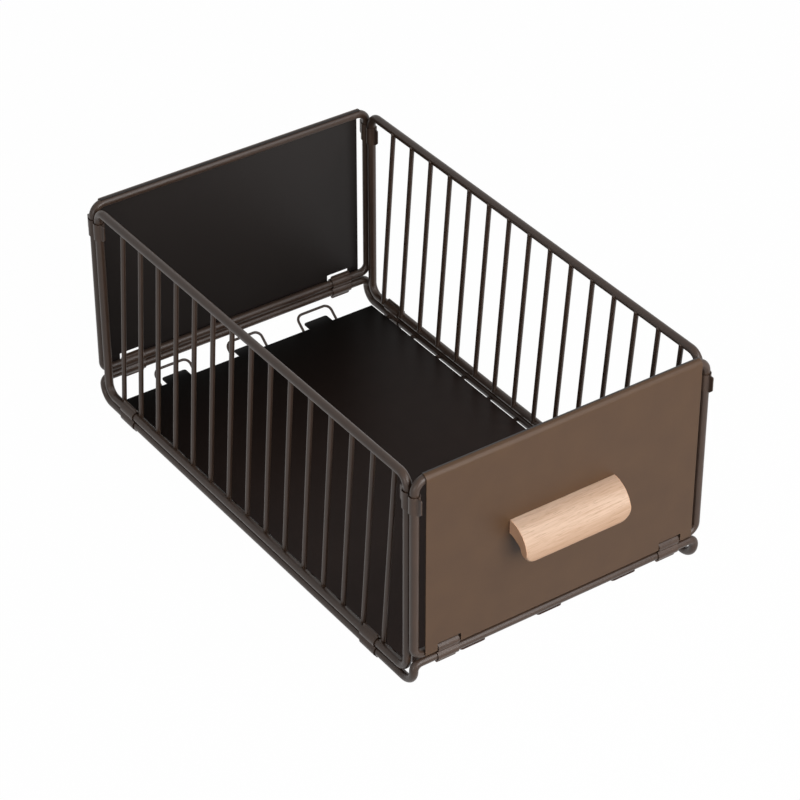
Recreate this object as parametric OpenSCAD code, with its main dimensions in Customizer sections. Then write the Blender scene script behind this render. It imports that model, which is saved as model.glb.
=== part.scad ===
// Wire basket that pulls out of a kitchen cabinet. Four walls are hinged on a
// saddle-shaped base ring, so that the basket can be folded down.
// X runs across the basket, Y from its front to its back and Z up.

/* [Basket] */
// Width between the middles of the side walls' wires
basket_w = 226; // [200:1:280]
// Depth between the middles of the end walls' wires
basket_d = 382; // [340:1:460]
// Height of the walls' top wires above the base ring's side runs, middle to middle
wall_h = 158.5; // [140:0.5:200]
// Height of the base ring's end runs above its side runs
end_rise = 15.8; // [14:0.1:22]

/* [Wire and sheet] */
// Thickness of the rim wires and of the base ring
rim_d = 6; // [5.5:0.1:7]
// Thickness of the upright bars in the side walls
bar_d = 3.5; // [3:0.1:4.5]
// Thickness of the cross wires under the floor
cross_d = 3; // [2.5:0.1:3.5]
// Thickness of the end loops' wire
loop_d = 2; // [1.6:0.1:2.2]
// Thickness of the sheet steel in the panels and clips
sheet_t = 0.8; // [0.6:0.1:1.2]
// Thickness of the floor plate
floor_t = 1; // [0.8:0.1:2]

/* [Bends, to the wire's middle] */
// Bend from an end run down into a base corner
drop_bend = 5; // [4:0.1:6]
// Bend at the walls' top corners
top_bend = 8.5; // [6:0.1:12]
// Bend at the side walls' bottom corners
side_foot_bend = 9; // [6:0.1:12]
// Bend at the end walls' bottom corners
end_foot_bend = 6.6; // [5:0.1:9]

/* [Side walls] */
// Number of upright bars in a side wall
bar_count = 15; // [11:1:17]
// Angle by which the bars lean towards the front
bar_lean = 5; // [0:0.5:5.5]
// Distance by which the bars stand inside the middle of their frame
bar_inset = 1.9; // [0:0.1:2]
// Distance by which the bars and clips stand in front of the frame's middle
bar_shift = 0.7; // [0:0.1:1]
// Number of the gap between bars, counted from either end, that holds a hinge clip
clip_bay = 1; // [1:1:3]

/* [Floor] */
// Distance between the middles of the cross wires
cross_pitch = 31.55; // [28:0.05:36]
// Height of the cross wires' middle above the side runs' middle
cross_lift = 0.5; // [0:0.1:1]
// Room between the side runs' middle and the floor plate's long edge
floor_side_room = 7.8; // [7.5:0.1:12]
// Room between the end runs' middle and the floor plate's short edge
floor_end_room = 16; // [15.5:0.5:18]
// Width of a floor tab
tab_w = 20; // [14:0.5:24]
// Length of a floor tab
tab_l = 7.4; // [5:0.1:8]
// Radius of a floor tab's corners
tab_r = 2; // [1:0.1:2.5]
// Distance between the middles of neighbouring floor tabs
tab_pitch = 61; // [50:1:61]
// Distance between the middles of an end loop's legs
loop_w = 28.8; // [28:0.1:32]
// Length of an end loop from its foot to its top bar's middle
loop_len = 13.4; // [12:0.1:14.5]
// Rise of an end loop for each millimetre that it runs outwards
loop_slope = 0.75; // [0.7:0.05:1.1]
// Bend at the end loops' top corners
loop_bend = 5; // [3:0.1:6]
// Bend at the end loops' feet
loop_foot_bend = 3; // [2:0.5:4]

/* [End panels] */
// Room between the middle of an upright and the panel's edge
panel_room = 5.5; // [4.5:0.1:12]
// Distance by which a panel's lower edge hangs below its hinge's middle
panel_hang = 0.4; // [0:0.1:0.5]
// Angle by which a panel's top edge is rolled round the top wire
roll_angle = 115; // [90:1:150]
// Height of the clip notches above the hinge's middle
notch_top = 5.7; // [5.6:0.1:8]
// Room beside a hinge clip in its notch
notch_room = 1; // [0.5:0.1:2]

/* [Clips] */
// Width of a hinge clip
clip_w = 16; // [12:0.5:16]
// Distance by which a hinge clip's lips stand beyond the wires
clip_lip = 3; // [2.5:0.1:3]
// Radius of the lips' corners
lip_r = 1.6; // [0.5:0.1:2]
// Distance of an end wall's hinge clip from the middle of the upright beside it
end_clip_room = 24.5; // [20:0.5:30]
// Height of a corner catch
catch_h = 14; // [10:0.5:18]
// Distance by which a corner catch's lip stands beyond its wire
catch_lip = 4.65; // [4:0.05:6]

/* [Handle] */
// Length of the handle
handle_len = 82.2; // [60:0.1:140]
// Distance of the handle's middle from the panel's middle
handle_x = -2.2; // [-10:0.1:10]
// Height of the handle
handle_h = 25.4; // [23:0.1:30]
// Depth of the handle's top below the top wire's middle
handle_drop = 56.5; // [20:0.5:80]
// Reach of the handle from the panel, which is also its outer curve's radius
handle_out = 18; // [16:0.1:21]
// Thickness of the handle's finger lip
handle_lip = 6; // [5:0.1:7]
// Radius of the handle's lower corners, seen from the front
handle_corner = 5.5; // [3:0.1:8]
// Distance between the handle's screws
screw_pitch = 50; // [36:1:52]
// Thickness of a handle screw
screw_d = 3.5; // [3:0.1:4]
// Depth of a handle screw in the wood
screw_depth = 9.5; // [8:0.1:10.5]
// Diameter of a screw head
head_d = 8; // [6:0.1:9]
// Thickness of a screw head
head_h = 2.2; // [1.6:0.1:2.6]

/* [Clearances] */
// Gap all round a wire in a clip, and between a panel and its wires
fit_gap = 0.05; // [0.03:0.01:0.1]
// Gap at a welded or resting seat
seat_gap = 0.02; // [0.01:0.01:0.03]
// Gap between a wire and the clip that it swings past
swing_gap = 0.15; // [0.12:0.01:0.3]

/* [Hidden] */
$fn = 64;

coat = [0.36, 0.28, 0.22];
dark_coat = [0.27, 0.21, 0.17];
pale_wood = [0.89, 0.79, 0.69];
bright_steel = [0.78, 0.78, 0.76];

// wires and clips
rim_r = rim_d / 2;
clip_r = rim_r + fit_gap;
clip_out = clip_r + sheet_t;
pair = rim_r + clip_out + swing_gap;
run_z = clip_lip + rim_r;
end_z = run_z + end_rise;
side_hinge_z = run_z + pair;
end_hinge_z = end_z + pair;
top_z = run_z + wall_h;
side_bend = end_rise - drop_bend;

// walls
side_len = basket_d - 2 * pair;
side_h = top_z - side_hinge_z;
end_h = top_z - end_hinge_z;
bar_pitch = side_len / (bar_count + 1);
catch_z = top_z - top_bend - catch_h;
panel_w = basket_w - 2 * panel_room;
panel_out = clip_r + sheet_t;
end_clip_x = basket_w / 2 - end_clip_room;

// floor
cross_z = run_z + cross_lift;
floor_z = cross_z + cross_d / 2 + seat_gap;
floor_w = basket_w - 2 * floor_side_room;
floor_l = basket_d - 2 * floor_end_room;
cross_half = floor((floor_l / 2 - cross_d) / cross_pitch);
loop_z = floor_z - seat_gap - loop_d / 2;
loop_lean = atan(loop_slope);

// handle, with heights taken down from its top
tip_r = handle_lip / 2;
recess_r = handle_out - handle_lip;
lip_drop = handle_h - tip_r;
screw_drop = (lip_drop - recess_r) / 2;
hole_d = screw_d + 0.5;
cross_slot = 1;
handle_z = top_z - handle_drop;

// length by which a cutting shape runs past what it cuts
over = 1;

// The whole basket is moved so that its box stands centred on the origin.
front_reach = basket_d / 2 + panel_out + seat_gap + handle_out;
back_reach = basket_d / 2 + rim_r + catch_lip;
y_shift = (front_reach - back_reach) / 2;

module at_basket() {
    translate([0, y_shift, 0]) children();
}

// Mirrors a piece to the left where side is -1 and leaves it where side is 1.
module to_side(side) {
    mirror([side < 0 ? 1 : 0, 0, 0]) children();
}

// Mirrors a piece to the front where end is -1 and leaves it where end is 1.
module to_end(end) {
    mirror([0, end < 0 ? 1 : 0, 0]) children();
}

// Stands a flat shape up: its x runs along Y, its y along Z, its height along X.
module stand_along_y() {
    rotate([90, 0, 90]) children();
}

// Stands a flat shape up: its x stays along X, its y runs along Z.
module stand_along_x() {
    rotate([90, 0, 0]) children();
}

// Straight wire between two points.
module rod(from, to, d) {
    v = to - from;
    len = norm(v);
    translate(from)
        rotate([0, acos(v.z / len), atan2(v.y, v.x)])
            cylinder(d = d, h = len);
}

// Bent wire in the XY plane, turning from +X about Z.
module elbow(bend, d, angle = 90) {
    rotate_extrude(angle = angle)
        translate([bend, 0]) circle(d = d);
}

// Closed rectangle of wire in the XY plane, with its bottom run along y = 0.
module wire_ring(w, h, foot_bend, head_bend, d) {
    rod([foot_bend - w / 2, 0, 0], [w / 2 - foot_bend, 0, 0], d);
    rod([head_bend - w / 2, h, 0], [w / 2 - head_bend, h, 0], d);
    for (side = [-1, 1]) {
        to_side(side) {
            rod([w / 2, foot_bend, 0], [w / 2, h - head_bend, 0], d);
            translate([w / 2 - head_bend, h - head_bend, 0])
                elbow(head_bend, d);
            translate([w / 2 - foot_bend, foot_bend, 0])
                rotate([0, 0, -90]) elbow(foot_bend, d);
        }
    }
}

// Rectangle with round corners, centred on x = 0 and standing on y = 0.
module rounded_rect(w, h, r) {
    translate([-w / 2, r]) square([w, h - 2 * r]);
    translate([r - w / 2, 0]) square([w - 2 * r, h]);
    for (x = [r - w / 2, w / 2 - r], y = [r, h - r])
        translate([x, y]) circle(r);
}

// ---- base ----

// Saddle ring: low side runs, high end runs, and corners that drop straight
// down from an end run and then turn into a side run.
module base_ring_shape() {
    run_half = basket_d / 2 - side_bend;
    end_half = basket_w / 2 - drop_bend;
    for (side = [-1, 1])
        translate([side * basket_w / 2, 0, run_z])
            rod([0, -run_half, 0], [0, run_half, 0], rim_d);
    for (end = [-1, 1])
        translate([0, end * basket_d / 2, end_z])
            rod([-end_half, 0, 0], [end_half, 0, 0], rim_d);
    for (side = [-1, 1], end = [-1, 1]) {
        to_side(side) to_end(end) {
            translate([end_half, basket_d / 2, end_z - drop_bend])
                stand_along_x() elbow(drop_bend, rim_d);
            translate([basket_w / 2, run_half, run_z + side_bend])
                stand_along_y() rotate([0, 0, -90]) elbow(side_bend, rim_d);
        }
    }
}

// Wires welded between the side runs, each end coped to the run's round.
module cross_wires_shape() {
    difference() {
        for (i = [-cross_half : cross_half])
            translate([0, i * cross_pitch, cross_z])
                rod([-basket_w / 2, 0, 0], [basket_w / 2, 0, 0], cross_d);
        for (side = [-1, 1])
            translate([side * basket_w / 2, 0, run_z])
                rod([0, -basket_d / 2, 0], [0, basket_d / 2, 0], rim_d + 2 * seat_gap);
    }
}

// Flat plate with three tabs at each end.
module floor_plate_shape() {
    translate([-floor_w / 2, -floor_l / 2, floor_z])
        cube([floor_w, floor_l, floor_t]);
    for (end = [-1, 1], i = [-1 : 1])
        to_end(end)
            translate([i * tab_pitch, floor_l / 2 - 2 * tab_r, floor_z])
                linear_extrude(floor_t)
                    rounded_rect(tab_w, tab_l + 2 * tab_r, tab_r);
}

// U of wire at the rear end of the plate, on x = 0. Its legs run back under
// the plate to the last cross wire.
module end_loop() {
    foot = loop_foot_bend * tan(loop_lean / 2);
    foot_y = floor_l / 2 + foot;
    leg_end = cross_half * cross_pitch + cross_d / 2 + seat_gap;
    translate([0, foot_y, loop_z]) {
        for (side = [-1, 1]) {
            translate([side * loop_w / 2, 0, 0]) {
                rod([0, leg_end - foot_y, 0], [0, -foot, 0], loop_d);
                translate([0, -foot, loop_foot_bend])
                    stand_along_y() rotate([0, 0, -90])
                        elbow(loop_foot_bend, loop_d, loop_lean);
            }
        }
        rotate([loop_lean, 0, 0]) {
            for (side = [-1, 1]) {
                to_side(side) {
                    rod([loop_w / 2, foot, 0], [loop_w / 2, loop_len - loop_bend, 0], loop_d);
                    translate([loop_w / 2 - loop_bend, loop_len - loop_bend, 0])
                        elbow(loop_bend, loop_d);
                }
            }
            rod([loop_bend - loop_w / 2, loop_len, 0],
                [loop_w / 2 - loop_bend, loop_len, 0], loop_d);
        }
    }
}

module loop_pair(place) {
    for (end = [-1, 1])
        to_end(end) translate([place * tab_pitch, 0, 0]) end_loop();
}

// Sheet rolled into two barrels, one round a base wire at z = 0 and one round
// the wall's wire above it, with a flat lip beyond each.
module hinge_clip() {
    reach = rim_r + clip_lip;
    difference() {
        union() {
            for (z = [0, pair])
                translate([0, 0, z])
                    rod([-clip_w / 2, 0, 0], [clip_w / 2, 0, 0], 2 * clip_out);
            translate([0, sheet_t / 2, -reach])
                stand_along_x() linear_extrude(sheet_t)
                    rounded_rect(clip_w, pair + 2 * reach, lip_r);
        }
        for (z = [0, pair])
            translate([0, 0, z])
                rod([-clip_w, 0, 0], [clip_w, 0, 0], 2 * clip_r);
    }
}

// Place along Y, at the hinge, midway between two neighbouring bars.
function bay_y(bay) =
    (bar_count / 2 - bay) * bar_pitch - bar_shift + tan(bar_lean) * side_h / 2;

// Side wall's clip, with a hole for any cross wire that ends inside it.
module side_clip(side, bay) {
    hole_half = basket_w / 2 - sheet_t;
    difference() {
        translate([side * basket_w / 2, bay_y(bay), run_z])
            rotate([0, 0, 90]) hinge_clip();
        for (i = [-cross_half : cross_half])
            translate([0, i * cross_pitch, cross_z])
                rod([-hole_half, 0, 0], [hole_half, 0, 0], cross_d + 2 * swing_gap);
    }
}

module end_clip(side, end) {
    translate([side * end_clip_x, end * basket_d / 2, end_z]) hinge_clip();
}

// ---- side walls ----

module side_rim(side) {
    translate([side * basket_w / 2, 0, side_hinge_z])
        stand_along_y()
            wire_ring(side_len, side_h, side_foot_bend, top_bend, rim_d);
}

// Leaning bars, coped to the bottom and top wires.
module side_bars(side) {
    reach = side_h / 2 / cos(bar_lean);
    middle = (bar_count + 1) / 2;
    translate([side * basket_w / 2, 0, side_hinge_z]) {
        difference() {
            for (i = [1 : bar_count])
                translate([-side * bar_inset, (middle - i) * bar_pitch - bar_shift, side_h / 2])
                    rotate([bar_lean, 0, 0])
                        translate([0, 0, -reach]) cylinder(d = bar_d, h = 2 * reach);
            for (z = [0, side_h])
                translate([0, 0, z])
                    rod([0, -side_len, 0], [0, side_len, 0], rim_d + 2 * seat_gap);
        }
    }
}

// ---- corner catches ----

// Flat lip that stands off a catch's barrel along +Y, with its outer corners
// rounded.
module catch_tongue() {
    start = clip_r + sheet_t / 2;
    reach = rim_r + catch_lip - start;
    translate([-sheet_t / 2, start, 0])
        stand_along_y() linear_extrude(sheet_t) {
            translate([reach / 2, 0]) rounded_rect(reach, catch_h, lip_r);
            square([reach / 2, catch_h]);
        }
}

module catch_barrel() {
    linear_extrude(catch_h)
        difference() {
            circle(clip_out);
            circle(clip_r);
        }
}

// Closed barrel on an end wall's upright, with its tongue outwards.
module end_catch(side, end) {
    to_side(side) to_end(end)
        translate([basket_w / 2, basket_d / 2, catch_z]) {
            catch_barrel();
            catch_tongue();
        }
}

// Open barrel on a side wall's upright, cut off flush with the wire on the
// side of the end wall, with its tongue inwards.
module side_catch(side, end) {
    to_side(side) to_end(end)
        translate([basket_w / 2, side_len / 2, catch_z]) {
            difference() {
                catch_barrel();
                translate([-clip_out, rim_r, -over])
                    cube([2 * clip_out, clip_out, catch_h + 2 * over]);
            }
            mirror([0, 1, 0]) catch_tongue();
        }
}

// ---- end walls, drawn at the back and mirrored to the front ----

module end_rim_shape(end) {
    to_end(end)
        translate([0, basket_d / 2, end_hinge_z])
            stand_along_x()
                wire_ring(basket_w, end_h, end_foot_bend, top_bend, rim_d);
}

// Flat sheet outside the wires. Its top edge is rolled round the top wire and
// its lower edge is notched for the hinge clips.
module panel_sheet() {
    notch_w = clip_w + 2 * notch_room;
    difference() {
        union() {
            translate([-panel_w / 2, clip_r, -panel_hang])
                cube([panel_w, sheet_t, end_h + panel_hang]);
            translate([-panel_w / 2, 0, end_h])
                stand_along_y()
                    rotate_extrude(angle = roll_angle)
                        translate([clip_r, 0]) square([sheet_t, panel_w]);
        }
        for (x = [-end_clip_x, end_clip_x])
            translate([x - notch_w / 2, 0, -rim_d])
                cube([notch_w, rim_d, rim_d + notch_top]);
    }
}

module at_end_wall(end) {
    to_end(end) translate([0, basket_d / 2, end_hinge_z]) children();
}

// Puts a piece at each screw, with +Y pointing out of the panel.
module at_screws() {
    for (x = [-screw_pitch / 2, screw_pitch / 2])
        translate([handle_x + x, 0, handle_z - end_hinge_z - screw_drop]) children();
}

module drilled_panel() {
    difference() {
        panel_sheet();
        at_screws()
            rod([0, 0, 0], [0, 2 * panel_out, 0], hole_d);
    }
}

// Quarter-round section with a finger recess behind its lip. The panel is
// along x = 0 and the top is at y = 0.
module handle_section() {
    difference() {
        union() {
            translate([0, -handle_out])
                intersection() {
                    circle(handle_out);
                    square(handle_out);
                }
            translate([0, -lip_drop]) square([handle_out, lip_drop - handle_out]);
        }
        translate([0, -lip_drop]) circle(recess_r);
    }
    translate([handle_out - tip_r, -lip_drop]) circle(tip_r);
}

// Outline of the handle from the front: square at the top, round at the foot.
module handle_front() {
    translate([0, -handle_h]) rounded_rect(handle_len, handle_h, handle_corner);
    translate([-handle_len / 2, -handle_h / 2]) square([handle_len, handle_h / 2]);
}

module handle_shape() {
    difference() {
        translate([handle_x, panel_out + seat_gap, handle_z - end_hinge_z])
            intersection() {
                translate([-handle_len / 2, 0, 0])
                    stand_along_y() linear_extrude(handle_len) handle_section();
                translate([0, handle_out + over, 0])
                    stand_along_x() linear_extrude(handle_out + 2 * over) handle_front();
            }
        at_screws()
            rod([0, 0, 0], [0, panel_out + screw_depth + 2 * fit_gap, 0], screw_d + 2 * fit_gap);
    }
}

// Pan-headed screws from the inside, through the panel into the wood.
module screws_shape() {
    cut = head_h / 2;
    at_screws() {
        rod([0, clip_r - seat_gap, 0], [0, panel_out + screw_depth, 0], screw_d);
        difference() {
            translate([0, clip_r - seat_gap - head_h, 0])
                rotate([-90, 0, 0])
                    cylinder(d1 = head_d - head_h, d2 = head_d, h = head_h);
            for (turn = [0, 90])
                translate([0, clip_r - seat_gap - head_h, 0])
                    rotate([0, turn, 0])
                        cube([head_d / 2, cut, cross_slot], center = true);
        }
    }
}

// ---- one module for each piece ----

module base_ring() {
    color(coat) at_basket() base_ring_shape();
}

module cross_wires() {
    color(coat) at_basket() cross_wires_shape();
}

module floor_plate() {
    color(dark_coat) at_basket() floor_plate_shape();
}

module left_loops() {
    color(coat) at_basket() loop_pair(-1);
}

module middle_loops() {
    color(coat) at_basket() loop_pair(0);
}

module right_loops() {
    color(coat) at_basket() loop_pair(1);
}

module left_clip_front() {
    color(coat) at_basket() side_clip(-1, bar_count - clip_bay);
}

module left_clip_rear() {
    color(coat) at_basket() side_clip(-1, clip_bay);
}

module right_clip_front() {
    color(coat) at_basket() side_clip(1, bar_count - clip_bay);
}

module right_clip_rear() {
    color(coat) at_basket() side_clip(1, clip_bay);
}

module front_clip_left() {
    color(coat) at_basket() end_clip(-1, -1);
}

module front_clip_right() {
    color(coat) at_basket() end_clip(1, -1);
}

module back_clip_left() {
    color(coat) at_basket() end_clip(-1, 1);
}

module back_clip_right() {
    color(coat) at_basket() end_clip(1, 1);
}

module left_rim() {
    color(coat) at_basket() side_rim(-1);
}

module left_bars() {
    color(coat) at_basket() side_bars(-1);
}

module left_catch_front() {
    color(coat) at_basket() side_catch(-1, -1);
}

module left_catch_rear() {
    color(coat) at_basket() side_catch(-1, 1);
}

module right_rim() {
    color(coat) at_basket() side_rim(1);
}

module right_bars() {
    color(coat) at_basket() side_bars(1);
}

module right_catch_front() {
    color(coat) at_basket() side_catch(1, -1);
}

module right_catch_rear() {
    color(coat) at_basket() side_catch(1, 1);
}

module front_rim() {
    color(coat) at_basket() end_rim_shape(-1);
}

module front_panel() {
    color(coat) at_basket() at_end_wall(-1) drilled_panel();
}

module front_catch_left() {
    color(coat) at_basket() end_catch(-1, -1);
}

module front_catch_right() {
    color(coat) at_basket() end_catch(1, -1);
}

module handle() {
    color(pale_wood) at_basket() at_end_wall(-1) handle_shape();
}

module handle_screws() {
    color(bright_steel) at_basket() at_end_wall(-1) screws_shape();
}

module back_rim() {
    color(coat) at_basket() end_rim_shape(1);
}

module back_panel() {
    color(coat) at_basket() at_end_wall(1) panel_sheet();
}

module back_catch_left() {
    color(coat) at_basket() end_catch(-1, 1);
}

module back_catch_right() {
    color(coat) at_basket() end_catch(1, 1);
}

base_ring();
cross_wires();
floor_plate();
left_loops();
middle_loops();
right_loops();
left_clip_front();
left_clip_rear();
right_clip_front();
right_clip_rear();
front_clip_left();
front_clip_right();
back_clip_left();
back_clip_right();
left_rim();
left_bars();
left_catch_front();
left_catch_rear();
right_rim();
right_bars();
right_catch_front();
right_catch_rear();
front_rim();
front_panel();
front_catch_left();
front_catch_right();
handle();
handle_screws();
back_rim();
back_panel();
back_catch_left();
back_catch_right();
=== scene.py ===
import bmesh
import bpy
import numpy as np
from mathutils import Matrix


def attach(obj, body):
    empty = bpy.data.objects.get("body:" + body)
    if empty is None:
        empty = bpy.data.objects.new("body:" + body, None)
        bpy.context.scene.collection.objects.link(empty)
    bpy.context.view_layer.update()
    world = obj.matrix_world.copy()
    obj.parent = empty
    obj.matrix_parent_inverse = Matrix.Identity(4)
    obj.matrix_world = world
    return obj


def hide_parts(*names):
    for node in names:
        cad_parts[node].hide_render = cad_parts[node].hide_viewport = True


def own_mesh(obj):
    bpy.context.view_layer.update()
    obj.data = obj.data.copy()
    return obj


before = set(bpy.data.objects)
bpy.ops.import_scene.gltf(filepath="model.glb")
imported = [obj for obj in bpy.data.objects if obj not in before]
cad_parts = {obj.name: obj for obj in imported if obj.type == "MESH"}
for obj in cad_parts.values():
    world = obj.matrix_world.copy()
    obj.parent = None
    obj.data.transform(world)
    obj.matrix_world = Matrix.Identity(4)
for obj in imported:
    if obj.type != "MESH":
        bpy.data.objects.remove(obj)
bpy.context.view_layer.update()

basket_shift = 7.11  # mm from the frame's origin back to the middle of the basket


def bend(middle, start, end, radius, turn=90.0, steps=12):
    """Middle line of a bent wire: middle + radius (start cos a + end sin a), a from 0 to turn degrees."""
    a = np.radians(np.linspace(0, turn, steps + 1))[:, None]
    middle, start, end = np.array(middle, float), np.array(start, float), np.array(end, float)
    return middle + radius * (start * np.cos(a) + end * np.sin(a))


def unit(v):
    """Each direction divided by its own length."""
    return v / np.linalg.norm(v, axis=-1, keepdims=True)


def wire_skin(path, radius, lean, closed=False, sides=24):
    """Skin of a round wire: round each point p of the path runs a ring p + r (n cos b + m sin b), where t is
    the path's direction, n the lean less its part along t, and m = t x n. The radius r may change along the
    path. An open wire gets a flat dome at each end: rings of radius r cos a, set r sin a / 2 further out."""
    path = np.array(path, float)
    radius = np.broadcast_to(np.array(radius, float), path.shape[:1])
    lean = np.broadcast_to(np.array(lean, float), path.shape)
    if closed:
        t = unit(np.roll(path, -1, 0) - np.roll(path, 1, 0))
    else:
        t = unit(np.gradient(path, axis=0))
        a = np.radians([25.0, 50.0, 70.0, 85.0])[:, None]
        far = path[-1] + t[-1] * radius[-1] * np.sin(a) / 2
        near = (path[0] - t[0] * radius[0] * np.sin(a) / 2)[::-1]
        path = np.concatenate([near, path, far])
        radius = np.concatenate([radius[0] * np.cos(a[::-1, 0]), radius, radius[-1] * np.cos(a[:, 0])])
        t, lean = (np.pad(v, ((len(a), len(a)), (0, 0)), "edge") for v in (t, lean))
    n = unit(lean - t * (lean * t).sum(-1, keepdims=True))
    m = np.cross(t, n)
    b = np.linspace(0, 2 * np.pi, sides, endpoint=False)[None, :, None]
    rings = path[:, None] + radius[:, None, None] * (n[:, None] * np.cos(b) + m[:, None] * np.sin(b))
    return {"points": rings, "joined": (closed, True), "ends": not closed}


def make_piece(name, grids, body, stands_for, material, wall=0.0, edge=0.0):
    """One object from grids of points in mm, with a quad between each four neighbours. A grid may be joined
    on itself down its columns or along its rows, have its first and last row filled, or leave cells out."""
    corners, faces, first = [], [], 0
    for grid in grids:
        rows, columns = grid["points"].shape[:2]
        points = grid["points"].reshape(-1, 3)
        number = np.arange(rows * columns).reshape(rows, columns)
        filled = [number[0, ::-1], number[-1]] if grid.get("ends") else []
        down, round_about = grid.get("joined", (False, False))
        if down:
            number = np.concatenate([number, number[:1]])
        if round_about:
            number = np.concatenate([number, number[:, :1]], axis=1)
        quads = np.stack([number[:-1, :-1], number[:-1, 1:], number[1:, 1:], number[1:, :-1]], -1)
        if "keep" in grid:
            used, quads = np.unique(quads[grid["keep"]], return_inverse=True)
            points = points[used]
        faces += (quads.reshape(-1, 4) + first).tolist() + [(row + first).tolist() for row in filled]
        corners.append(points)
        first += len(points)
    mesh = bpy.data.meshes.new(name)
    mesh.from_pydata((np.concatenate(corners) + [0, basket_shift, 0]) / 1000, [], faces)
    return finish_piece(name, mesh, body, stands_for, material, wall, edge)


def finish_piece(name, mesh, body, stands_for, material, wall=0.0, edge=0.0):
    """Merges the mesh's doubles and turns its faces outwards, gives a sheet its wall and rounds sharp edges,
    both in mm, and sets the piece on its body."""
    sharp = np.radians(38)
    bm = bmesh.new()
    bm.from_mesh(mesh)
    bmesh.ops.remove_doubles(bm, verts=bm.verts, dist=2e-6)
    bmesh.ops.recalc_face_normals(bm, faces=bm.faces)
    bm.to_mesh(mesh)
    bm.free()
    mesh.shade_smooth()
    mesh.set_sharp_from_angle(angle=sharp)
    mesh.materials.clear()
    mesh.materials.append(material)
    made = bpy.data.objects.new(name, mesh)
    bpy.context.scene.collection.objects.link(made)
    if wall:
        sheet = made.modifiers.new("sheet", "SOLIDIFY")
        sheet.thickness = wall / 1000
        sheet.offset = 0.0
        sheet.use_even_offset = True
    if edge:
        broken = made.modifiers.new("broken edges", "BEVEL")
        broken.width = edge / 1000
        broken.segments = 2
        broken.limit_method = "ANGLE"
        broken.angle_limit = sharp
        broken.harden_normals = True
    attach(made, body)
    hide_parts(*stands_for)
    return made


class Flow:
    """One output of a shader node. The signs + - * / on it, from either side, add Math nodes."""

    def __init__(self, tree, socket=None):
        self.tree, self.socket = tree, socket

    def node(self, kind, settings=None, inputs=None, out=0):
        """Any node in the same tree: its settings are set first, then each socket's value or link."""
        made = self.tree.nodes.new(kind)
        for key, value in (settings or {}).items():
            setattr(made, key, value)
        for key, value in (inputs or {}).items():
            if isinstance(value, Flow):
                self.tree.links.new(value.socket, made.inputs[key])
            else:
                made.inputs[key].default_value = value
        return Flow(self.tree, made.outputs[out]) if len(made.outputs) else made

    def maths(self, operation, a, b=0.0):
        """One Math node on a and b."""
        return self.node("ShaderNodeMath", {"operation": operation}, {0: a, 1: b})

    def limit(self):
        """The value kept between 0 and 1."""
        return self.node("ShaderNodeClamp", {}, {"Value": self})

    def size(self):
        """The value without its sign."""
        return self.maths("ABSOLUTE", self)

    def __add__(self, other):
        return self.maths("ADD", self, other)

    __radd__ = __add__

    def __sub__(self, other):
        return self.maths("SUBTRACT", self, other)

    def __rsub__(self, other):
        return self.maths("SUBTRACT", other, self)

    def __mul__(self, other):
        return self.maths("MULTIPLY", self, other)

    __rmul__ = __mul__

    def __truediv__(self, other):
        return self.maths("DIVIDE", self, other)

    def __rtruediv__(self, other):
        return self.maths("DIVIDE", other, self)


def blend(share, a, b):
    """Colour that passes from a to b as the share goes from 0 to 1."""
    return share.node("ShaderNodeMix", {"data_type": "RGBA"}, {0: share, 6: a, 7: b}, out=2)


def srgb(r, g, b):
    """A colour as a screen names it, 0 to 255, turned to the linear light that shaders use."""
    c = np.array([r, g, b]) / 255
    c = np.where(c <= 0.04045, c / 12.92, ((c + 0.055) / 1.055) ** 2.4)
    return (float(c[0]), float(c[1]), float(c[2]), 1.0)


def new_surface(name):
    """An empty material, and a Flow that adds nodes to it."""
    material = bpy.data.materials.new(name)
    material.use_nodes = True
    material.node_tree.nodes.clear()
    return material, Flow(material.node_tree)


def powder_coat(name, deep, warm, roughness, shine, peel=0.02, shade=None):
    """Powder coat. Its colour goes from deep to warm in soft clouds some 20 mm wide. Its roughness rises and
    falls with grains under 1 mm. The same grains and a wider ripple lift the surface, by peel mm at most.
    A piece may paint shade into the colour by its own place, with a shade function of place and colour."""
    material, f = new_surface(name)
    place = f.node("ShaderNodeTexCoord", out="Object")
    cloud = f.node("ShaderNodeTexNoise", {}, {"Vector": place, "Scale": 48.0, "Detail": 3.0})
    grain = f.node("ShaderNodeTexNoise", {}, {
        "Vector": place, "Scale": 1500.0, "Detail": 2.0, "Roughness": 0.6})
    ripple = f.node("ShaderNodeTexNoise", {}, {"Vector": place, "Scale": 420.0, "Detail": 1.0})
    colour = blend(((cloud - 0.3) * 2.2).limit(), deep, warm)
    if shade:
        colour = shade(place, colour)
    lift = grain * 0.6 + ripple * 0.4
    bumps = f.node("ShaderNodeBump", {}, {"Strength": 0.6, "Distance": peel / 1000, "Height": lift})
    skin = f.node("ShaderNodeBsdfPrincipled", {}, {
        "Base Color": colour, "Roughness": roughness - 0.06 + 0.12 * grain, "Normal": bumps,
        "Specular IOR Level": shine})
    f.node("ShaderNodeOutputMaterial", {}, {"Surface": skin})
    return material


wire_coat = powder_coat("wire_coat", srgb(65, 49, 39), srgb(73, 55, 44), roughness=0.36, shine=0.42)

wire_radius, ring_x, ring_y, run_z, end_z = 3.0, 113.0, 191.0, 6.0, 21.8
drop_bend, side_bend = 5.0, 10.8
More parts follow.
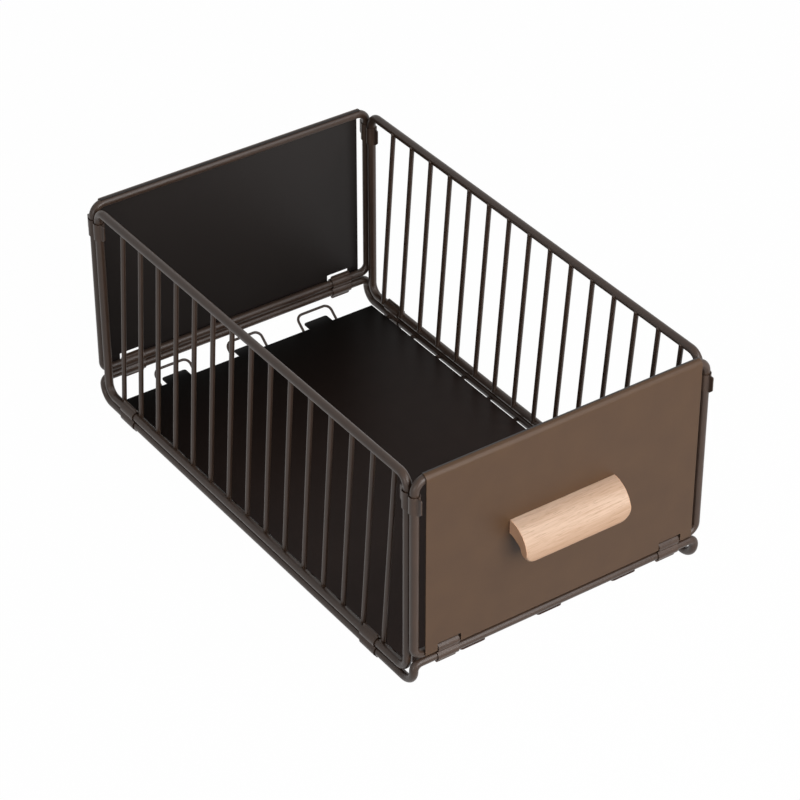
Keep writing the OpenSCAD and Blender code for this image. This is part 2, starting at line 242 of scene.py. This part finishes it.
# A quarter of the ring: from the middle of the back run, down round the corner, to that of the right run.
quarter = np.concatenate([
    [[0, ring_y, end_z]],
    bend([ring_x - drop_bend, ring_y, end_z - drop_bend], [0, 0, 1], [1, 0, 0], drop_bend, steps=10),
    bend([ring_x, ring_y - side_bend, run_z + side_bend], [0, 1, 0], [0, 0, -1], side_bend, steps=14),
    [[ring_x, 0, run_z]],
])
saddle = np.concatenate([
    quarter[:-1],
    (quarter * [1, -1, 1])[:0:-1],
    (quarter * [-1, -1, 1])[:-1],
    (quarter * [-1, 1, 1])[:0:-1],
])
saddle_lean = np.sign(saddle[:, :1]) * [1.0, 0, 0] + [0, 0, 1.0]
make_piece("ring_wire", [wire_skin(saddle, wire_radius, saddle_lean, closed=True, sides=28)],
           "base", ["base_ring"], wire_coat)

# ---- Cross wires ----------------------------------------------------------------------------------
# Eleven 3 mm wires under the floor plate, cut to length and resistance-welded between the ring's side
# runs, so that each end swells into a small upset weld.


def points_at(x, y, z):
    """Points from their three coordinates, each of which is one number or an array of them."""
    return np.stack(np.broadcast_arrays(x, y, z), -1).astype(float)


def welded_bars(starts, ends, radius, swell, length):
    """Straight wires that swell at both ends: r = radius (1 + swell e^(-(d / length)^2)) at d from an end."""
    bars = []
    for start, end in zip(starts, ends):
        long = np.linalg.norm(end - start)
        d = np.concatenate([np.linspace(0, 2.6 * length, 8), [long / 2]])
        along = np.concatenate([d, (long - d)[-2::-1]])
        from_end = np.minimum(along, long - along)
        r = radius * (1 + swell * np.exp(-((from_end / length) ** 2)))
        path = start + along[:, None] / long * (end - start)
        bars.append(wire_skin(path, r, [1.0, 0.3, 0.2], sides=20))
    return bars


cross_radius, cross_pitch, cross_end, cross_z = 1.5, 31.55, 109.9, 6.5
cross_left = points_at(-cross_end, cross_pitch * np.arange(-5, 6), cross_z)
cross_rods = welded_bars(cross_left, cross_left * [-1, 1, 1], cross_radius, swell=0.14, length=0.8)
make_piece("cross_rods", cross_rods, "base", ["cross_wires"], wire_coat)

# ---- Floor plate ----------------------------------------------------------------------------------
# One sheet of 1 mm steel, laser-cut with three tabs at each end, its edges broken on a belt. It lies on
# the cross wires and carries what is kept in the basket.
plate_half_wide, plate_half_long, plate_z, plate_thick = 106.05, 175.0, 8.52, 1.0
tab_pitch, tab_half, tab_corner, tab_long = 61.0, 10.0, 2.0, 8.5


def part_of(place, axis):
    """One coordinate of a place, in metres."""
    return place.node("ShaderNodeSeparateXYZ", {}, {"Vector": place}, out=axis)


def painted_shade_to_back(place, colour):
    """Painted shade: passes the coat's colour evenly into near black, from the plate's front edge to its back
    edge, for light that falls off towards the back.
    """
    back = (part_of(place, "Y") - basket_shift / 1000) / (2 * plate_half_long / 1000)
    return blend((back + 0.5).limit(), colour, srgb(5, 4, 3))


def corner_cut(across, half, r):
    """How far a rounded end falls back: r - sqrt(r^2 - e^2), e being how far across lies past half - r."""
    e = np.clip(np.abs(across) - (half - r), 0, r)
    return r - np.sqrt(r * r - e * e)


def from_tab(x):
    """Distance of x from the middle of the nearest of the three tabs."""
    return x - tab_pitch * np.round(np.clip(x, -tab_pitch, tab_pitch) / tab_pitch)


tab_side = tab_half - tab_corner + tab_corner * np.sin(np.radians([0, 22, 42, 60, 76, 90]))
tab_x = np.concatenate([-tab_side[::-1], [0], tab_side])
plate_x = np.concatenate([
    [-plate_half_wide], tab_x - tab_pitch, tab_x, tab_x + tab_pitch, [plate_half_wide]])
past_end = tab_long - corner_cut(from_tab(plate_x), tab_half, tab_corner)
share = np.array([1, 0.5, 0])[:, None]  # of the tabs' length, from their tips to their roots
plate_y = np.concatenate([
    -plate_half_long - share * past_end,
    np.zeros((1, len(plate_x))),
    plate_half_long + share[::-1] * past_end,
])
# Outside the plate's own length only the cells of the tabs are kept.
in_tab = np.abs(from_tab((plate_x[1:] + plate_x[:-1]) / 2)) < tab_half
whole = np.ones_like(in_tab)
plate_kept = np.array([in_tab, in_tab, whole, whole, in_tab, in_tab])
# The plate's coat darkens towards the back as painted shade.
plate_coat = powder_coat("plate_coat", srgb(72, 53, 46), srgb(79, 59, 51), roughness=0.36, shine=0.08,
                         shade=painted_shade_to_back)
make_piece("floor_sheet", [{"points": points_at(plate_x, plate_y, plate_z), "keep": plate_kept}],
           "base", ["floor_plate"], plate_coat, wall=plate_thick, edge=0.18)

# ---- End loops ------------------------------------------------------------------------------------
# Six U-shaped springs of 2 mm wire, welded under the plate and leaning outwards beside its tabs. They
# keep goods off the ends.
loop_radius, loop_half, loop_bend, foot_bend = 1.0, 14.4, 5.0, 3.0
leg_z, leg_start, leg_end, slope_start, slope_long = 7.02, 159.4, 175.0, 176.0, 8.4
slope = np.array([0, 0.8, 0.6])
loop_corner = [loop_bend - loop_half, slope_start, leg_z] + slope_long * slope
half_loop = np.concatenate([
    [[-loop_half, leg_start, leg_z]],
    bend([-loop_half, leg_end, leg_z + foot_bend], [0, 0, -1], [0, 1, 0], foot_bend, turn=36.87, steps=6),
    bend(loop_corner, [-1, 0, 0], slope, loop_bend, steps=10),
])
whole_loop = np.concatenate([half_loop, (half_loop * [-1, 1, 1])[::-1]])
for x, name, joint in ((-tab_pitch, "left_loops", "left_fold"), (0, "middle_loops", "left_fold"),
                       (tab_pitch, "right_loops", "right_fold")):
    rear = whole_loop + [x, 0, 0]
    springs = [wire_skin(rear, loop_radius, [0.1, -0.6, 0.8], sides=16),
               wire_skin(rear * [1, -1, 1], loop_radius, [0.1, 0.6, 0.8], sides=16)]
    loops = make_piece(name.replace("loops", "springs"), springs, "base", [name], wire_coat)
    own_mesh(loops)

# ---- Hinge clips ----------------------------------------------------------------------------------
# Each is two pressed halves of 0.4 mm strip, closed round a base wire and the wall's wire above it and
# spot-welded at the flat lips. The upper wire turns in it.
clip_coat = powder_coat("clip_coat", srgb(69, 52, 42), srgb(79, 60, 48), roughness=0.37, shine=0.4)
barrel, lip = 3.65, 0.215  # from a wire's middle, and from the lips' joint, to the middle of the strip
hinge_rise = 7.0  # from the middle of the base wire up to the middle of the wall's wire
side_clip_y = {"front": -143.57, "rear": 155.43}
end_clip_x = 88.5


def clip_section():
    """Half a clip in the (out, up) plane, from its lower lip to its upper one. The barrels are arcs round the
    two wires. A foot arc joins each lip and a waist arc the barrels, each centred where its circle touches
    both neighbours. The upper half mirrors the lower one about the waist."""
    lip_end, lip_root, foot, waist = -6.0, -5.2, 1.0, 0.8
    low = np.array([lip + foot, -np.sqrt((barrel + foot) ** 2 - (lip + foot) ** 2)])
    mid = np.array([np.sqrt((barrel + waist) ** 2 - (hinge_rise / 2) ** 2), hinge_rise / 2])
    low_turn, mid_turn = np.arctan2(low[1], low[0]), np.arctan2(mid[1], mid[0])

    def arc(middle, r, start, end, steps):
        """middle + r (cos a, sin a), a going from start to end."""
        a = np.linspace(start, end, steps + 1)
        return np.stack([middle[0] + r * np.cos(a), middle[1] + r * np.sin(a)], 1)

    half = np.concatenate([
        [[lip, lip_end], [lip, lip_root]],
        arc(low, foot, np.pi, low_turn + np.pi, 5),
        arc([0, 0], barrel, low_turn, mid_turn, 16)[1:],
        arc(mid, waist, mid_turn + np.pi, np.pi, 4)[1:],
    ])
    return np.concatenate([half, (half[::-1] * [1, -1] + [0, hinge_rise])[1:]])


def clip_halves(middle, along, out):
    """The section carried across the clip's width, once for each side. Its lips fall back at the corners by
    corner_cut, and the rows beside them keep clear of them."""
    half_wide, rounded, clear = 8.0, 1.4, 0.02
    flat = half_wide - rounded
    corner = flat + rounded * np.sin(np.radians([25, 50, 72, 90]))
    width = np.concatenate([-corner[::-1], [-flat, 0, flat], corner])
    section = clip_section()
    up = np.repeat(section[:, 1:], len(width), 1)
    up[0] += corner_cut(width, half_wide, rounded)
    up[-1] -= corner_cut(width, half_wide, rounded)
    up[1] = np.maximum(up[1], up[0] + clear)
    up[-2] = np.minimum(up[-2], up[-1] - clear)
    flat_clip = middle + width[:, None] * np.array(along, float) + up[..., None] * [0, 0, 1.0]
    swell = section[:, :1, None] * np.array(out, float)
    return [{"points": flat_clip + swell}, {"points": flat_clip - swell}]


def make_strip(name, halves, body, node):
    """A piece pressed from 0.4 mm strip, with the burr off its edges."""
    return make_piece(name, halves, body, [node], clip_coat, wall=0.4, edge=0.09)


for hand, side in (("left", -1), ("right", 1)):
    for end, y in side_clip_y.items():
        halves = clip_halves([side * ring_x, y, run_z], along=[0, 1, 0], out=[1, 0, 0])
        make_strip(f"{hand}_barrels_{end}", halves, "base", f"{hand}_clip_{end}")
for end, y in (("front", -ring_y), ("back", ring_y)):
    for hand, side in (("left", -1), ("right", 1)):
        halves = clip_halves([side * end_clip_x, y, end_z], along=[1, 0, 0], out=[0, 1, 0])
        make_strip(f"{end}_barrels_{hand}", halves, "base", f"{end}_clip_{hand}")

# ---- Side walls -----------------------------------------------------------------------------------
# A closed frame of 6 mm wire with fifteen 3.5 mm bars that lean 5 degrees. The bars are welded just
# inside the frame's middle. The lower wire turns in the clips.
top_z, top_bend, side_half, side_foot_bend = 164.5, 8.5, 184.0, 9.0
side_hinge_z = run_z + hinge_rise
bar_radius, bar_inset, bar_sunk, bar_pitch, bar_shift = 1.75, 1.9, 0.4, 23.0, -0.7


def frame_path(half, low, high, foot, across, head=top_bend):
    """Closed frame in an upright plane: straight wires joined by quarter bends, foot below and head above."""
    across, up = np.array(across, float), np.array([0, 0, 1.0])
    right = np.concatenate([
        bend(across * (half - foot) + up * (low + foot), -up, across, foot, steps=12),
        bend(across * (half - head) + up * (high - head), across, up, head, steps=12),
    ])
    left = right - 2 * (right @ across)[:, None] * across
    return np.concatenate([right, left[::-1]])


bar_y = bar_pitch * np.arange(7, -8, -1) + bar_shift
lean_y = np.tan(np.radians(5)) * (top_z - side_hinge_z) / 2
for side, wall in ((-1, "left"), (1, "right")):
    body = wall + "_wall"
    rim = frame_path(side_half, side_hinge_z, top_z, side_foot_bend, [0, 1, 0]) + [side * ring_x, 0, 0]
    make_piece(wall + "_frame", [wire_skin(rim, wire_radius, [1.0, 0, 0], closed=True, sides=28)],
               body, [wall + "_rim"], wire_coat)
    bar_x = side * (ring_x - bar_inset)
    feet = points_at(bar_x, bar_y + lean_y, side_hinge_z + bar_sunk)
    heads = points_at(bar_x, bar_y - lean_y, top_z - bar_sunk)
    make_piece(wall + "_rods", welded_bars(feet, heads, bar_radius, swell=0.12, length=0.9),
               body, [wall + "_bars"], wire_coat)

# ---- End walls ------------------------------------------------------------------------------------
# A closed frame of 6 mm wire and a panel of 0.8 mm sheet outside it. The sheet's top edge is rolled
# round the top wire and its foot is notched for the clips.
end_hinge_z = end_z + hinge_rise
end_foot_bend, panel_half, panel_thick = 6.6, 106.8, 0.8
panel_out = 3.449  # from the frame wire's middle to the middle of the sheet
sheet_foot, notch_top, notch_half = -0.4, 5.7, 9.0
face_end, roll_end = 2.5, 0.2  # how far below, and outside, the top wire's middle the painted inner shade stops


def painted_inner_shade(place, colour):
    """Painted shade: a darker colour where the sheet looks into the basket, on its inner face below the roll,
    and on the half of the roll that is nearer the basket's middle than the top wire."""
    far = (part_of(place, "Y") - basket_shift / 1000).size()
    inner_face = (((ring_y + panel_out) / 1000 - far) * 10000).limit()
    below_roll = (((top_z - face_end) / 1000 - part_of(place, "Z")) * 1000).limit()
    on_roll = (((ring_y + roll_end) / 1000 - far) * 2000).limit()
    return blend((inner_face * below_roll + on_roll).limit(), colour, srgb(38, 33, 31))


# The panel's coat darkens inside the basket as painted shade.
panel_coat = powder_coat("panel_coat", srgb(84, 61, 43), srgb(90, 66, 46), roughness=0.42, shine=0.3,
                         peel=0.012, shade=painted_inner_shade)
roll_up = top_z - end_hinge_z
panel_up = np.concatenate([[sheet_foot, notch_top], np.linspace(20, 120, 6), [roll_up]])
roll = np.radians(np.linspace(0, 115, 24))[1:]
panel_rows = np.concatenate([
    np.stack([np.full_like(panel_up, panel_out), panel_up], 1),
    np.stack([panel_out * np.cos(roll), roll_up + panel_out * np.sin(roll)], 1),
])
notch = end_clip_x + np.array([-notch_half, notch_half])
panel_x = np.concatenate([[-panel_half], -notch[::-1], np.linspace(-50, 50, 5), notch, [panel_half]])
panel_kept = np.ones((len(panel_rows) - 1, len(panel_x) - 1), bool)
panel_kept[0, [1, -2]] = False
for end, wall in ((-1, "front"), (1, "back")):
    body = wall + "_wall"
    rim = frame_path(ring_x, end_hinge_z, top_z, end_foot_bend, [1, 0, 0]) + [0, end * ring_y, 0]
    make_piece(wall + "_frame", [wire_skin(rim, wire_radius, [0, 1.0, 0], closed=True, sides=28)],
               body, [wall + "_rim"], wire_coat)
    # The section (out, up), a straight rise and the roll's arc, is carried across, less the notches' cells.
    sheet = points_at(panel_x, end * (ring_y + panel_rows[:, :1]), end_hinge_z + panel_rows[:, 1:])
    make_piece(wall + "_sheet", [{"points": sheet, "keep": panel_kept}],
               body, [wall + "_panel"], panel_coat, wall=panel_thick, edge=0.16)

# ---- Corner catches -------------------------------------------------------------------------------
# Strip of 0.4 mm wrapped round the uprights, its ends laid together as a tongue. An end wall's catch is
# a closed barrel; a side wall's is open and snaps over it.
catch_z = 149.0


def catch_wraps(middle, tongue, is_open):
    """Section in plan: tongue, a fillet arc, and a barrel arc round the wire to the far side, or only to the
    opening. It is mirrored across the tongue and carried from foot to head. The tongue's lower corner is cut
    off at 45 degrees and its upper one is rounded by corner_cut."""
    tongue_end, tongue_root, fillet, opening = 7.65, 5.6, 1.5, 3.0
    foot, head, snipped, rounded = -7.0, 5.8, 2.5, 0.7
    low = np.array([np.sqrt((barrel + fillet) ** 2 - (lip + fillet) ** 2), lip + fillet])
    turn = np.arctan2(low[1], low[0])
    a = np.linspace(-np.pi / 2, turn - np.pi, 6)
    c = np.linspace(turn, np.arccos(-opening / barrel) if is_open else np.pi, 22)[1:]
    section = np.concatenate([
        [[tongue_end, lip], [tongue_root, lip]],
        np.stack([low[0] + fillet * np.cos(a), low[1] + fillet * np.sin(a)], 1),
        np.stack([barrel * np.cos(c), barrel * np.sin(c)], 1),
    ])
    up = np.concatenate([[foot, foot + snipped, 0, head - rounded],
                         head - rounded + rounded * np.sin(np.radians([25, 50, 72, 90]))])
    out = np.repeat(section[:, :1], len(up), 1)
    out[0] -= np.maximum(0, foot + snipped - up) + corner_cut(np.maximum(up, 0), head, rounded)
    out[1] = (out[0] + out[2]) / 2
    tongue = np.array(tongue, float)
    across = section[:, 1, None, None] * np.abs(tongue[[1, 0, 2]])
    flat_wrap = middle + out[..., None] * tongue + up[:, None] * [0, 0, 1.0]
    near, far = flat_wrap + across, flat_wrap - across
    if is_open:
        return [{"points": near}, {"points": far}]
    return [{"points": np.concatenate([near, far[-2::-1]])}]


for end, wall, where in ((-1, "front", "front"), (1, "back", "rear")):
    for side, hand in ((-1, "left"), (1, "right")):
        closed_wrap = catch_wraps([side * ring_x, end * ring_y, catch_z], [0, end, 0], is_open=False)
        make_strip(f"{wall}_wrap_{hand}", closed_wrap, wall + "_wall", f"{wall}_catch_{hand}")
        open_wrap = catch_wraps([side * ring_x, end * side_half, catch_z], [0, -end, 0], is_open=True)
        make_strip(f"{hand}_wrap_{where}", open_wrap, hand + "_wall", f"{hand}_catch_{where}")

# ---- Handle ---------------------------------------------------------------------------------------
# A strip of pale straight-grained wood, milled to a quarter round with a finger recess behind its lip,
# its edges sanded round, and finished with matt lacquer.
handle_long, handle_out, handle_high, handle_lip, handle_corner = 82.2, 18.0, 25.4, 6.0, 8.0
handle_x, handle_y, handle_z = -2.2, -194.87, 108.0  # the middle of its upper back edge


def fibres(place, stretch, detail, roughness=0.5):
    """Noise drawn out along the wood, with so many waves to the metre along it, out of it and up it."""
    drawn = place.node("ShaderNodeVectorMath", {"operation": "MULTIPLY"}, {0: place, 1: stretch})
    return place.node("ShaderNodeTexNoise", {}, {
        "Vector": drawn, "Scale": 1.0, "Detail": detail, "Roughness": roughness})


wood, f = new_surface("pale_wood")
place = f.node("ShaderNodeTexCoord", out="Object")
turned = f.node("ShaderNodeMapping", {}, {"Vector": place, "Rotation": (0.0, 0.035, 0.02)})
bands = fibres(turned, (9.0, 150.0, 210.0), 3.0, 0.55)
streaks = fibres(turned, (30.0, 900.0, 1300.0), 4.0, 0.65)
pores = fibres(turned, (110.0, 2600.0, 2600.0), 1.0)
grain = blend(((bands - 0.32) * 2.6).limit(), srgb(210, 176, 149), srgb(231, 200, 175))
grain = blend(((streaks - 0.46) * 3.4).limit() * 0.8, grain, srgb(190, 150, 120))
grain = blend(((pores - 0.6) * 6.0).limit() * 0.6, grain, srgb(160, 122, 92))
# Painted shade with a painted brown reflection darkens and warms the wood from 10 mm below its top; the end
# grain, the last 0.6 mm at each end, is warmer in its own tone.
painted_shade_below = (((handle_z - 10) / 1000 - part_of(place, "Z")) * 75).limit()
grain = blend(painted_shade_below * 0.55, grain, srgb(196, 152, 118))
from_middle = (part_of(place, "X") - handle_x / 1000).size()
end_grain = ((from_middle - (handle_long / 2 - 0.6) / 1000) * 4000).limit()
grain = blend(end_grain * 0.75, grain, srgb(234, 184, 147))
feel = f.node("ShaderNodeBump", {}, {"Strength": 0.5, "Distance": 0.00004, "Height": streaks - pores * 0.5})
# The base colour carries the wood's grain and the painted shade of its lower part.
skin = f.node("ShaderNodeBsdfPrincipled", {}, {
    "Base Color": grain, "Roughness": 0.5 + 0.16 * streaks, "Normal": feel, "Specular IOR Level": 0.35})
f.node("ShaderNodeOutputMaterial", {}, {"Surface": skin})


def handle_skin(length, out, height, lip, corner):
    """Stations along the handle, each a closed section (out from the panel, down from the top): an arc of the
    full reach, the lip's straight front and half-round foot, and the recess's arc. Near an end the section
    below its middle is drawn up: at corner (1 - cos a) from the end its foot rises by corner (1 - sin a)."""
    foot = height - lip / 2
    top, tip, recess = (np.radians(np.linspace(0, most, n)) for most, n in ((90, 20), (180, 12), (90, 16)))
    section = np.concatenate([
        np.stack([out * np.sin(top), out - out * np.cos(top)], 1),
        np.stack([out - lip / 2 + lip / 2 * np.cos(tip), foot + lip / 2 * np.sin(tip)], 1),
        np.stack([(out - lip) * np.cos(recess), foot - (out - lip) * np.sin(recess)], 1)[1:],
    ])
    a = np.radians(np.linspace(0, 90, 16))
    from_end, rise = corner * (1 - np.cos(a)), corner * (1 - np.sin(a))
    x = np.concatenate([from_end - length / 2, [0], (length / 2 - from_end)[::-1]])
    rise = np.concatenate([rise, [0], rise[::-1]])[:, None]
    down, middle = section[:, 1], height / 2
    down = np.where(down > middle, middle + (down - middle) * (1 - rise / (height - middle)), down)
    return {"points": points_at(x[:, None], -section[:, 0], -down), "joined": (False, True), "ends": True}


grip = handle_skin(handle_long, handle_out, handle_high, handle_lip, handle_corner)
grip["points"] += [handle_x, handle_y, handle_z]
make_piece("grip", [grip], "front_wall", ["handle"], wood, edge=0.7)

# ---- Handle screws --------------------------------------------------------------------------------
# Two zinc-plated pan-head screws with a cross recess, driven from the inside through the front panel
# into the wood. They are a merged copy of the solid, its flats made whole and its edges broken.
zinc, f = new_surface("zinc_plate")
place = f.node("ShaderNodeTexCoord", out="Object")
dull = f.node("ShaderNodeTexNoise", {}, {"Vector": place, "Scale": 700.0, "Detail": 3.0})
tone = blend(((dull - 0.3) * 2.0).limit(), srgb(176, 178, 176), srgb(206, 206, 200))
skin = f.node("ShaderNodeBsdfPrincipled", {}, {
    "Base Color": tone, "Metallic": 1.0, "Roughness": 0.24 + 0.2 * dull})
f.node("ShaderNodeOutputMaterial", {}, {"Surface": skin})

screw_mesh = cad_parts["handle_screws"].data.copy()
bm = bmesh.new()
bm.from_mesh(screw_mesh)
bmesh.ops.remove_doubles(bm, verts=bm.verts, dist=2e-6)
bmesh.ops.dissolve_limit(bm, angle_limit=np.radians(0.4), verts=bm.verts, edges=bm.edges)
bm.to_mesh(screw_mesh)
bm.free()
finish_piece("screws", screw_mesh, "front_wall", ["handle_screws"], zinc, edge=0.18)

# ---- Floor, light and camera ----------------------------------------------------------------------
# A white table and white surroundings, a broad soft lamp up in front of the basket, a weaker low one on
# its left and a small cool one for the edges.
from mathutils import Vector

table_half, table_z = 6.0, -0.0004


def showing_white(f):
    """1 for the rays that show the white ground: the camera's own, mirrored ones and those through glass."""
    camera_ray, mirrored, through = (f.node("ShaderNodeLightPath", out=kind) for kind in (
        "Is Camera Ray", "Is Glossy Ray", "Is Transmission Ray"))
    return (camera_ray + mirrored + through).limit()


white, f = new_surface("white_table")
shown = showing_white(f)
table_skin = f.node("ShaderNodeBsdfDiffuse", {}, {
    "Color": blend(shown, (0.1, 0.1, 0.1, 1.0), (0.9, 0.9, 0.9, 1.0))})
glow = f.node("ShaderNodeEmission", {}, {"Color": (1.0, 1.0, 1.0, 1.0), "Strength": 1.0})
table_look = f.node("ShaderNodeMixShader", {}, {0: shown * 0.99, 1: table_skin, 2: glow})
f.node("ShaderNodeOutputMaterial", {}, {"Surface": table_look})
table = bpy.data.meshes.new("table")
table_corners = table_half * np.array([[-1, -1, 0], [1, -1, 0], [1, 1, 0], [-1, 1, 0]]) + [0, 0, table_z]
table.from_pydata(table_corners, [], [(0, 1, 2, 3)])
table.materials.append(white)
table_top = bpy.data.objects.new("table", table)
bpy.context.scene.collection.objects.link(table_top)

world = bpy.data.worlds.new("surroundings")
bpy.context.scene.world = world
world.use_nodes = True
world.node_tree.nodes.clear()
f = Flow(world.node_tree)
surroundings = f.node("ShaderNodeBackground", {}, {
    "Color": (1.0, 1.0, 1.0, 1.0), "Strength": 0.04 + 0.96 * showing_white(f)})
f.node("ShaderNodeOutputWorld", {}, {"Surface": surroundings})


def soft_lamp(name, place, size, watts, colour=(1.0, 1.0, 1.0), aim=(0, 0, 0.09)):
    """A square lamp turned so that it faces the point it is aimed at, which is the middle of the basket."""
    lamp = bpy.data.lights.new(name, "AREA")
    lamp.shape = "SQUARE"
    lamp.size = size
    lamp.energy = watts
    lamp.color = colour
    made = bpy.data.objects.new(name, lamp)
    bpy.context.scene.collection.objects.link(made)
    made.location = place
    made.rotation_euler = (Vector(aim) - Vector(place)).to_track_quat("-Z", "Y").to_euler()


soft_lamp("front_lamp", (0.1, -1.3, 0.6), size=1.0, watts=16.5)
soft_lamp("left_lamp", (-1.9, -0.9, 0.5), size=0.7, watts=7)
soft_lamp("edge_lamp", (0.9, -1.1, 1.45), size=0.3, watts=5, colour=(0.86, 0.93, 1.0))

camera_down, camera_turn = 35.411, -34.874  # degrees below level, and round from straight in front
camera_lens = bpy.data.cameras.new("camera")
camera_lens.lens = 137.0
camera_lens.sensor_width = 36.0
camera_lens.clip_start = 0.05
camera_lens.clip_end = 30.0
camera = bpy.data.objects.new("camera", camera_lens)
bpy.context.scene.collection.objects.link(camera)
camera.location = (-0.95257, -1.37348, 1.26025)
camera.rotation_euler = (np.pi / 2 - np.radians(camera_down), 0.0, np.radians(camera_turn))
bpy.context.scene.camera = camera
bpy.context.scene.view_settings.view_transform = "Standard"
